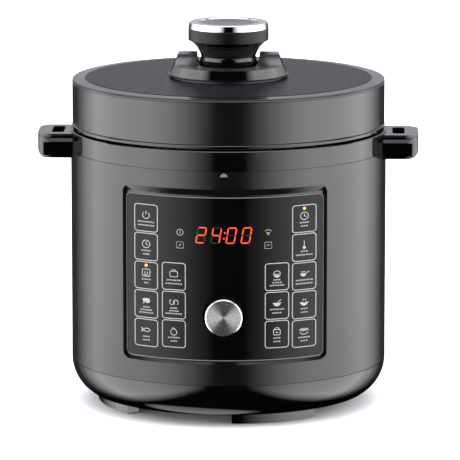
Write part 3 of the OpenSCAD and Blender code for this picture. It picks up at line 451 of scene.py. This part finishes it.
def on_lens(x, z, lift):
    return (x, -math.sqrt((LENS_R + lift) ** 2 - x * x), z)


def split_long(points, closed):
    """The same outline with no stretch longer than STEP, so that it bends with the lens."""
    out = []
    pairs = list(zip(points, points[1:] + points[:1])) if closed else list(zip(points, points[1:]))
    for a, b in pairs:
        n = max(1, math.ceil((b - a).length / STEP))
        out += [a.lerp(b, k / n) for k in range(n)]
    return out if closed else out + [points[-1]]


def line(points, width, closed=False):
    """A drawn line: [(left edge, right edge)] at each of its points."""
    points = split_long([Vector(p) for p in points], closed)
    n = len(points)
    sides = []
    for k, p in enumerate(points):
        before = points[k - 1] if closed or k else p
        after = points[(k + 1) % n] if closed or k < n - 1 else p
        ahead = (after - p).normalized() if (after - p).length else (p - before).normalized()
        behind = (p - before).normalized() if (p - before).length else ahead
        mean = (ahead + behind).normalized()
        normal = Vector((-mean.y, mean.x))
        reach = width / 2 / max(0.5, mean.dot(ahead))
        sides.append((p + normal * reach, p - normal * reach))
    return {"sides": sides, "closed": closed}


def area(points):
    """A filled outline."""
    return {"outline": [Vector(p) for p in points]}


def arc(x, z, r, a0, a1, steps=20):
    return [(x + r * math.cos(math.radians(a0 + (a1 - a0) * k / steps)),
             z + r * math.sin(math.radians(a0 + (a1 - a0) * k / steps))) for k in range(steps + 1)]


def round_box(x, z, w, h, r, steps=6):
    corners = ((x + w / 2 - r, z + h / 2 - r, 0), (x - w / 2 + r, z + h / 2 - r, 90),
               (x - w / 2 + r, z - h / 2 + r, 180), (x + w / 2 - r, z - h / 2 + r, 270))
    return [p for cx, cz, a in corners for p in arc(cx, cz, r, a, a + 90, steps)]


def bar(x, z, w, h):
    return area([(x - w / 2, z - h / 2), (x + w / 2, z - h / 2),
                 (x + w / 2, z + h / 2), (x - w / 2, z + h / 2)])


def lay_on_lens(name, shapes, mat, lift=0.0, thickness=PRINT_T):
    """One closed solid for each drawn line and filled outline, together one piece."""
    verts, faces = [], []
    for shape in shapes:
        start = len(verts)
        if "outline" in shape:
            ring = shape["outline"]
            n = len(ring)
            for depth in (lift, lift + thickness):
                verts += [on_lens(p.x, p.y, depth) for p in ring]
            faces.append([start + k for k in range(n)][::-1])
            faces.append([start + n + k for k in range(n)])
            faces += [[start + k, start + (k + 1) % n, start + n + (k + 1) % n, start + n + k]
                      for k in range(n)]
            continue
        sides = shape["sides"]
        n = len(sides)
        for left, right in sides:
            verts += [on_lens(left.x, left.y, lift), on_lens(right.x, right.y, lift),
                      on_lens(right.x, right.y, lift + thickness), on_lens(left.x, left.y, lift + thickness)]
        for k in range(n if shape["closed"] else n - 1):
            a, b = start + 4 * k, start + 4 * ((k + 1) % n)
            faces += [[a + j, a + (j + 1) % 4, b + (j + 1) % 4, b + j] for j in range(4)]
        if not shape["closed"]:
            last = start + 4 * (n - 1)
            faces += [[start + 3, start + 2, start + 1, start], [last, last + 1, last + 2, last + 3]]
    mesh = bpy.data.meshes.new(name)
    mesh.from_pydata(verts, [], faces)
    tidy = bmesh.new()
    tidy.from_mesh(mesh)
    bmesh.ops.recalc_face_normals(tidy, faces=tidy.faces)
    tidy.to_mesh(mesh)
    tidy.free()
    piece = bpy.data.objects.new(name, mesh)
    bpy.context.scene.collection.objects.link(piece)
    piece.data.materials.append(mat)
    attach(piece, "root")
    return piece


# ---------- the printed panel, with a painted highlight on the lens edge ---
KEY_W, KEY_H, KEY_R = 21.7 * MM, 25.4 * MM, 2.6 * MM
KEY_PITCH = 27.2 * MM
OUTER_LEFT_X, INNER_LEFT_X = -73.1 * MM, -46.9 * MM
OUTER_RIGHT_X, INNER_RIGHT_X = 74.2 * MM, 49.1 * MM
OUTER_LOW_Z, INNER_LOW_Z = 87.9 * MM, 89.3 * MM
ICON_UP = 2.6 * MM
ICON_LINE = 0.62 * MM
FRAME_LINE = 0.8 * MM
LAMP_UP = 9.6 * MM


def mm(points, x, z):
    return [(x + px * MM, z + pz * MM) for px, pz in points]


def stroke(points, x, z, closed=False):
    return line(mm(points, x, z), ICON_LINE, closed)


def circle(x, z, r):
    return line(arc(x, z, r * MM, 0, 360)[:-1], ICON_LINE, True)


def power_icon(x, z):
    return [line(arc(x, z, 3.2 * MM, 130, 410), ICON_LINE), stroke([(0, 0.6), (0, 4)], x, z)]


def clock_icon(x, z):
    return [circle(x, z, 3.6), stroke([(0, 2.3), (0, 0), (1.8, -0.9)], x, z)]


def steam_icon(x, z):
    waves = [stroke([(dx, -1.2), (dx + 0.7, 0), (dx, 1.2)], x, z) for dx in (-1.6, 0.9)]
    return [line(round_box(x, z, 7.4 * MM, 6.8 * MM, 1.4 * MM), ICON_LINE, True), *waves,
            stroke([(-2.4, -2.2), (2.4, -2.2)], x, z)]


def drumstick_icon(x, z):
    return [area(arc(x + 1.2 * MM, z + 0.8 * MM, 2.4 * MM, 0, 360)[:-1]),
            area(arc(x - 1.6 * MM, z + 1.2 * MM, 1.8 * MM, 0, 360)[:-1]),
            stroke([(-1.8, 0.4), (-2.6, -2.4)], x, z)]


def fish_icon(x, z):
    middle = x + 0.6 * MM
    body = arc(middle, z - 2.4 * MM, 4 * MM, 40, 140) + arc(middle, z + 2.4 * MM, 4 * MM, 220, 320)
    return [line(body, ICON_LINE, True), stroke([(-2.4, 0), (-4.4, 2), (-3.8, 0), (-4.4, -2)], x, z, True)]


def pot_icon(x, z):
    return [line(round_box(x, z - 0.4 * MM, 7.2 * MM, 5.2 * MM, 1.2 * MM), ICON_LINE, True),
            stroke([(-1.8, 2.4), (-1.2, 3.6), (1.2, 3.6), (1.8, 2.4)], x, z)]


def beans_icon(x, z):
    pods = [line(arc(x + dx * MM, z, 2.3 * MM, a, a + 300, 14), ICON_LINE)
            for dx, a in ((-1.7, 100), (1.9, -60))]
    return [*pods, stroke([(-0.4, -1.6), (0.9, 1.8)], x, z)]


def hand_icon(x, z):
    return [line(arc(x, z - 1 * MM, 2.9 * MM, 150, 400), ICON_LINE),
            stroke([(-2.4, 0.6), (-0.8, 3.2), (0.6, 1.2)], x, z), stroke([(0.4, 2.8), (1.8, 0.6)], x, z)]


def rice_icon(x, z):
    return [line(arc(x, z - 0.4 * MM, 3.3 * MM, 20, 160), ICON_LINE),
            area(arc(x, z, 3.4 * MM, 200, 340, 14)), stroke([(-3.6, -0.2), (3.6, -0.2)], x, z)]


def bowl(x, z, w=4.3):
    return area([(x - w * MM, z), *arc(x, z, 3.4 * MM, 195, 345, 14), (x + w * MM, z)])


def porridge_icon(x, z):
    return [bowl(x, z), stroke([(0.6, 0.4), (4, 3)], x, z)]


def cake_icon(x, z):
    return [line(round_box(x, z - 0.8 * MM, 6.2 * MM, 5 * MM, 1 * MM), ICON_LINE, True),
            line(arc(x, z + 1.2 * MM, 2.4 * MM, 0, 180, 12), ICON_LINE),
            stroke([(-1.4, -1), (1.4, -1)], x, z)]


def thermometer_icon(x, z):
    return [stroke([(0, -2), (0, 3.8)], x, z), area(arc(x, z - 2.6 * MM, 1.5 * MM, 0, 360)[:-1])]


def pan_icon(x, z):
    return [area([(x - 3.8 * MM, z), *arc(x - 0.8 * MM, z, 2.8 * MM, 200, 340, 12), (x + 2 * MM, z)]),
            stroke([(1.8, 0.3), (5, 1.9)], x, z), stroke([(-2.6, 1.4), (0.8, 1.4)], x, z)]


def soup_icon(x, z):
    waves = [stroke([(dx, 1.2), (dx + 0.5, 2.2), (dx, 3.2)], x, z) for dx in (-1.2, 0.9)]
    return [bowl(x, z), *waves]


def yogurt_icon(x, z):
    return [line(arc(x, z + 0.6 * MM, 4 * MM, 200, 340, 14), ICON_LINE),
            stroke([(-4.2, 0.8), (-3, 1.9), (3, 1.9), (4.2, 0.8)], x, z, True),
            stroke([(-2, 0), (2, 0)], x, z)]


# Icons of each column from the bottom key upwards, with the lengths of the caption's lines in bars
COLUMNS = [
    (OUTER_LEFT_X, OUTER_LOW_Z, [(fish_icon, (3, 3)), (drumstick_icon, (3, 5, 6)), (steam_icon, (4, 2)),
                             (clock_icon, (4, 3)), (power_icon, (7, 7))]),
    (INNER_LEFT_X, INNER_LOW_Z, [(hand_icon, (5, 3)), (beans_icon, (3, 4, 7)), (pot_icon, (6, 7))]),
    (INNER_RIGHT_X, INNER_LOW_Z, [(cake_icon, (3, 3)), (porridge_icon, (6, 4)), (rice_icon, (3, 4, 6))]),
    (OUTER_RIGHT_X, OUTER_LOW_Z, [(yogurt_icon, (5, 3)), (soup_icon, (3, 3)), (pan_icon, (7, 7)),
                            (thermometer_icon, (3, 7)), (clock_icon, (4, 3))]),
]
# Where the light line runs round the lens edge: a painted highlight, not print
LENS_EDGE_X, LENS_EDGE_LOW_Z, LENS_EDGE_HIGH_Z, LENS_EDGE_R = 91.7 * MM, 65.4 * MM, 219 * MM, 4.5 * MM
CAPTION_TOP = -3.7 * MM
CAPTION_PITCH = 3.3 * MM
BAR_W, BAR_H, BAR_GAP = 1.75 * MM, 1.25 * MM, 0.55 * MM


def caption(x, z, bars):
    left = x - (bars - 1) * (BAR_W + BAR_GAP) / 2
    return [bar(left + k * (BAR_W + BAR_GAP), z + (0.12 * MM if k % 3 else 0), BAR_W, BAR_H)
            for k in range(bars)]


def make_lens_print_and_edge_highlight():
    frames, icons, captions = [], [], []
    for x, low, keys in COLUMNS:
        for k, (icon, lines) in enumerate(keys):
            z = low + k * KEY_PITCH
            frames.append(line(round_box(x, z, KEY_W, KEY_H, KEY_R), FRAME_LINE, True))
            icons += icon(x, z + ICON_UP)
            top = CAPTION_TOP + (0.8 * MM if len(lines) > 2 else 0)
            pitch = CAPTION_PITCH * (0.8 if len(lines) > 2 else 1)
            for row, bars in enumerate(lines):
                captions += caption(x, z + top - row * pitch, bars)
    # A light line round the lens edge: a painted highlight where the edge would catch the light
    edge = (LENS_EDGE_X * 2, LENS_EDGE_HIGH_Z - LENS_EDGE_LOW_Z, LENS_EDGE_R)
    outline = round_box(0, (LENS_EDGE_LOW_Z + LENS_EDGE_HIGH_Z) / 2, *edge)
    lay_on_lens("lens_rim_painted_highlight", [line(outline, FRAME_LINE, True)], FINISHES["lens_rim_highlight_paint"])
    lay_on_lens("key_frames", frames, FINISHES["frame_ink"])
    lay_on_lens("key_icons", icons, FINISHES["icon_ink"])
    lay_on_lens("key_captions", captions, FINISHES["caption_ink"])


MARK_Z, MARK_R = 239.2 * MM, 3.4 * MM


def make_alignment_mark():
    """Grey half-round on the collar that the lid's mark is turned to."""
    outer = -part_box("collar_ring")[0].y
    shape = area(arc(0, MARK_Z, MARK_R, 0, 180, 24))
    lay_on_lens("alignment_mark", [shape], FINISHES["mark_ink"], lift=outer - LENS_R)


INDICATOR_X = 41 * MM
INDICATOR_Z = (185.7 * MM, 173.8 * MM)


def make_indicators():
    high, low = INDICATOR_Z
    x = INDICATOR_X
    shapes = [circle(-x, high, 2.9), stroke([(0, -1.4), (0, 1.4)], -x, high),
              line(round_box(-x, low, 6.4 * MM, 6 * MM, 0.8 * MM), ICON_LINE * 0.7, True),
              stroke([(-1, -1.4), (1, 1.4)], -x, low),
              line(arc(x, high - 1 * MM, 3.8 * MM, 40, 140, 10), ICON_LINE),
              area(mm([(-2, 0.6), (0, -2.6), (2, 0.6), (0, 0)], x, high)),
              line(round_box(x, low, 6.4 * MM, 6 * MM, 0.8 * MM), ICON_LINE * 0.7, True),
              stroke([(-1.6, 0), (1.6, 0.6)], x, low)]
    lay_on_lens("indicator_icons", shapes, FINISHES["caption_ink"])


# ---------- the lit display ----------
DIGIT_W, DIGIT_H, DIGIT_PITCH = 7.6 * MM, 14.3 * MM, 14.0 * MM
DIGIT_LEFT = -26.2 * MM
DIGIT_LOW = 176.6 * MM
SEGMENT_W = 1.25 * MM
SLANT = 0.17
SEGMENTS = {"a": ((0, 2), (1, 2)), "b": ((1, 1), (1, 2)), "c": ((1, 0), (1, 1)), "d": ((0, 0), (1, 0)),
            "e": ((0, 0), (0, 1)), "f": ((0, 1), (0, 2)), "g": ((0, 1), (1, 1))}
SHOWN = {"0": "abcdef", "2": "abged", "4": "fgbc"}
SHOWN_TIME = "2400"


def segment(left, ends):
    """A six-sided bar between two corners of a digit, leaning with it."""
    (ax, az), (bx, bz) = ends
    a = Vector((ax * DIGIT_W, az * DIGIT_H / 2))
    b = Vector((bx * DIGIT_W, bz * DIGIT_H / 2))
    ahead = (b - a).normalized()
    side = Vector((-ahead.y, ahead.x)) * SEGMENT_W / 2
    gap = 0.25 * MM
    a, b = a + ahead * gap, b - ahead * gap
    inset = ahead * SEGMENT_W / 2
    outline = [a, a + inset - side, b - inset - side, b, b - inset + side, a + inset + side]
    return area([(left + p.x + SLANT * p.y, DIGIT_LOW + p.y) for p in outline])


def make_display():
    lit_shapes, dark_shapes = [], []
    for k, digit in enumerate(SHOWN_TIME):
        left = DIGIT_LEFT + k * DIGIT_PITCH
        for name, ends in SEGMENTS.items():
            (lit_shapes if name in SHOWN[digit] else dark_shapes).append(segment(left, ends))
    colon_x = DIGIT_LEFT + 2 * DIGIT_PITCH - 2.6 * MM
    for z in (DIGIT_LOW + DIGIT_H * 0.3, DIGIT_LOW + DIGIT_H * 0.68):
        x = colon_x + SLANT * (z - DIGIT_LOW)
        lit_shapes.append(area(arc(x, z, 0.85 * MM, 0, 360, 12)[:-1]))
    lay_on_lens("display_digits", lit_shapes, FINISHES["digit_light"])
    # The unlit segments carry a faint painted glow so that they show dimly
    lay_on_lens("display_unlit", dark_shapes, FINISHES["unlit_segment_glow"])


def make_key_lamps():
    spots = [(OUTER_LEFT_X, OUTER_LOW_Z + 2 * KEY_PITCH + LAMP_UP),
             (OUTER_RIGHT_X, OUTER_LOW_Z + 4 * KEY_PITCH + LAMP_UP)]
    shapes = [area(arc(x, z, 1.35 * MM, 0, 360, 20)[:-1]) for x, z in spots]
    lay_on_lens("key_lamps", shapes, FINISHES["lamp_light"], thickness=0.2 * MM)


FINISHES["mark_ink"] = ink_and_painted_highlight("mark_ink", 0.12)
# Light grey for the painted highlight on the lens edge
FINISHES["lens_rim_highlight_paint"] = ink_and_painted_highlight("lens_rim_highlight_paint", 0.13)
FINISHES["frame_ink"] = ink_and_painted_highlight("frame_ink", 0.32)
FINISHES["icon_ink"] = ink_and_painted_highlight("icon_ink", 0.36)
FINISHES["caption_ink"] = ink_and_painted_highlight("caption_ink", 0.3, 0.4)
FINISHES["digit_light"] = lit("digit_light", (1.0, 0.1, 0.012), 0.85, (0.3, 0.02, 0.005))
# Unlit segments: a dark base colour with a faint painted glow, though these segments are off
FINISHES["unlit_segment_glow"] = lit("unlit_segment_glow", (0.2, 0.01, 0.0), 0.012, (0.006, 0.003, 0.003))
FINISHES["lamp_light"] = lit("lamp_light", (1.0, 0.22, 0.04), 3.0, (0.5, 0.1, 0.02))

make_lens_print_and_edge_highlight()
make_indicators()
make_display()
make_key_lamps()
make_alignment_mark()

# ---------- studio ----------
# How bright the studio is by degrees away from the front, left and right alike: a dark gap, then a softbox.
# The whole is turned a little to the right.
SOFTBOX = [(0, 0.0), (11, 0.003), (14, 0.07), (24, 0.28), (34, 0.54), (48, 0.85), (62, 1.03), (100, 0.95),
           (114, 0.85), (123, 0.5), (138, 0.13), (150, 0.012), (180, 0.012)]
SOFTBOX_TURN = math.radians(2.6)
SOFTBOX_STRENGTH = 4.6
BACKDROP_FROM = 129
OVERHEAD_STRENGTH = 3.9
BACKDROP_COLOUR = (0.93, 0.91, 1.0)
# Ramps: the softbox by steepness, backdrop and overhead by height, and the light from below by its tip
SOFTBOX_TALL = [(0.0, 0.0), (0.17, 0.0), (0.25, 1.0), (0.7, 1.0), (0.765, 0.0), (1.0, 0.0)]
BACKDROP_RISE = [(0.0, 0.0), (0.5, 0.0), (0.52, 0.18), (0.6, 0.18), (0.72, 0.36), (0.85, 0.52), (1.0, 1.0)]
OVERHEAD_RISE = [(0.0, 0.0), (0.84, 0.0), (0.89, 0.5), (0.94, 1.0), (1.0, 1.0)]
BELOW_RISE = [(0.0, 0.0), (0.955, 0.0), (0.975, 1.0), (1.0, 1.0)]
BELOW_STRENGTH = 1.6
BELOW_TIP = (-0.16, 0.3, -0.94)
PAPER_STRENGTH = 1.05


def make_world():
    """A studio by direction: a softbox on each side, a backdrop behind, light overhead and from below."""
    world = bpy.data.worlds.new("studio")
    bpy.context.scene.world = world
    world.use_nodes = True
    tree = world.node_tree
    tree.nodes.clear()

    def node(kind, **settings):
        made = tree.nodes.new("ShaderNode" + kind)
        for key, value in settings.items():
            setattr(made, key, value)
        return made

    def put(target, value):
        if isinstance(value, (int, float)):
            target.default_value = value
        else:
            tree.links.new(value, target)

    def maths(operation, a, b=0.0):
        made = node("Math", operation=operation)
        put(made.inputs[0], a)
        put(made.inputs[1], b)
        return made.outputs[0]

    def between(value, points):
        ramp = node("ValToRGB")
        stops = ramp.color_ramp.elements
        while len(stops) < len(points):
            stops.new(0.5)
        for stop, (at, level) in zip(stops, points):
            stop.position = at
            stop.color = (level, level, level, 1)
        put(ramp.inputs[0], value)
        return ramp.outputs[0]

    direction = node("TexCoord").outputs["Generated"]
    parts = node("SeparateXYZ")
    tree.links.new(direction, parts.inputs[0])
    x, y, z = parts.outputs
    from_front = maths("ARCTAN2", x, maths("MULTIPLY", y, -1.0))
    bearing = maths("ABSOLUTE", maths("SUBTRACT", from_front, SOFTBOX_TURN))
    share = maths("DIVIDE", bearing, math.pi)
    height = maths("MULTIPLY_ADD", z, 0.5)
    height.node.inputs[2].default_value = 0.5
    softbox = between(share, [(deg / 180, level) for deg, level in SOFTBOX])
    steep = maths("ARCTAN2", z, maths("ABSOLUTE", x))
    tall = between(maths("ADD", maths("DIVIDE", steep, math.pi), 0.5), SOFTBOX_TALL)
    sides = maths("MULTIPLY", maths("MULTIPLY", softbox, tall), SOFTBOX_STRENGTH)
    behind = maths("GREATER_THAN", share, BACKDROP_FROM / 180)
    rising = between(height, BACKDROP_RISE)
    overhead = between(height, OVERHEAD_RISE)
    brighter = maths("MAXIMUM", maths("MULTIPLY", behind, rising), overhead)
    backdrop = maths("MULTIPLY", brighter, OVERHEAD_STRENGTH)
    tip_x, tip_y, tip_z = (maths("MULTIPLY", part, weight) for part, weight in zip((x, y, z), BELOW_TIP))
    tipped = maths("ADD", tip_z, maths("ADD", tip_y, tip_x))
    below = maths("MULTIPLY", between(tipped, BELOW_RISE), BELOW_STRENGTH)
    pale = maths("ADD", backdrop, below)
    tint = node("Mix", data_type="RGBA")
    tint.blend_type = "MULTIPLY"
    tint.inputs[0].default_value = 1.0
    tree.links.new(pale, tint.inputs[6])
    tint.inputs[7].default_value = (*BACKDROP_COLOUR, 1)
    total = node("Mix", data_type="RGBA")
    total.blend_type = "ADD"
    total.inputs[0].default_value = 1.0
    tree.links.new(sides, total.inputs[6])
    tree.links.new(tint.outputs[2], total.inputs[7])
    lights = node("Background")
    tree.links.new(total.outputs[2], lights.inputs["Color"])
    plain = node("Background")
    plain.inputs["Color"].default_value = (1, 1, 1, 1)
    plain.inputs["Strength"].default_value = PAPER_STRENGTH
    choose = node("MixShader")
    seen = node("LightPath").outputs["Is Camera Ray"]
    tree.links.new(seen, choose.inputs[0])
    tree.links.new(lights.outputs[0], choose.inputs[1])
    tree.links.new(plain.outputs[0], choose.inputs[2])
    out = node("OutputWorld")
    tree.links.new(choose.outputs[0], out.inputs["Surface"])


FLOOR_R = 6.0


def make_floor():
    mesh = bpy.data.meshes.new("floor")
    disc = bmesh.new()
    bmesh.ops.create_circle(disc, cap_ends=True, segments=64, radius=FLOOR_R)
    disc.to_mesh(mesh)
    disc.free()
    floor = bpy.data.objects.new("floor", mesh)
    bpy.context.scene.collection.objects.link(floor)
    look = Look("floor_paper", specular=0.1)
    place = look.place()
    look.vary_colour(look.noise(place, 6), (0.9, 0.9, 0.91), (0.92, 0.92, 0.93))
    look.vary_rough(look.noise(place, 40), 0.75, 0.85)
    mesh.materials.append(look.mat)
    floor.visible_glossy = False


CAMERA_BEARING = math.radians(1.65)
CAMERA_DISTANCE = 4.1
CAMERA_HEIGHT = 0.896
AIM = Vector((0.0, 0.0, 0.1628))
LENS_MM = 339.6
CAMERA_SHIFT = 0.0033
SENSOR_MM = 36.0


def make_camera():
    data = bpy.data.cameras.new("camera")
    data.lens = LENS_MM
    data.sensor_width = SENSOR_MM
    data.clip_end = 50
    data.shift_x = CAMERA_SHIFT
    camera = bpy.data.objects.new("camera", data)
    bpy.context.scene.collection.objects.link(camera)
    camera.location = (CAMERA_DISTANCE * math.sin(CAMERA_BEARING),
                       -CAMERA_DISTANCE * math.cos(CAMERA_BEARING), CAMERA_HEIGHT)
    camera.rotation_mode = "QUATERNION"
    camera.rotation_quaternion = (AIM - camera.location).to_track_quat("-Z", "Y")
    bpy.context.scene.camera = camera


make_world()
make_floor()
make_camera()
bpy.context.scene.view_settings.view_transform = "Standard"
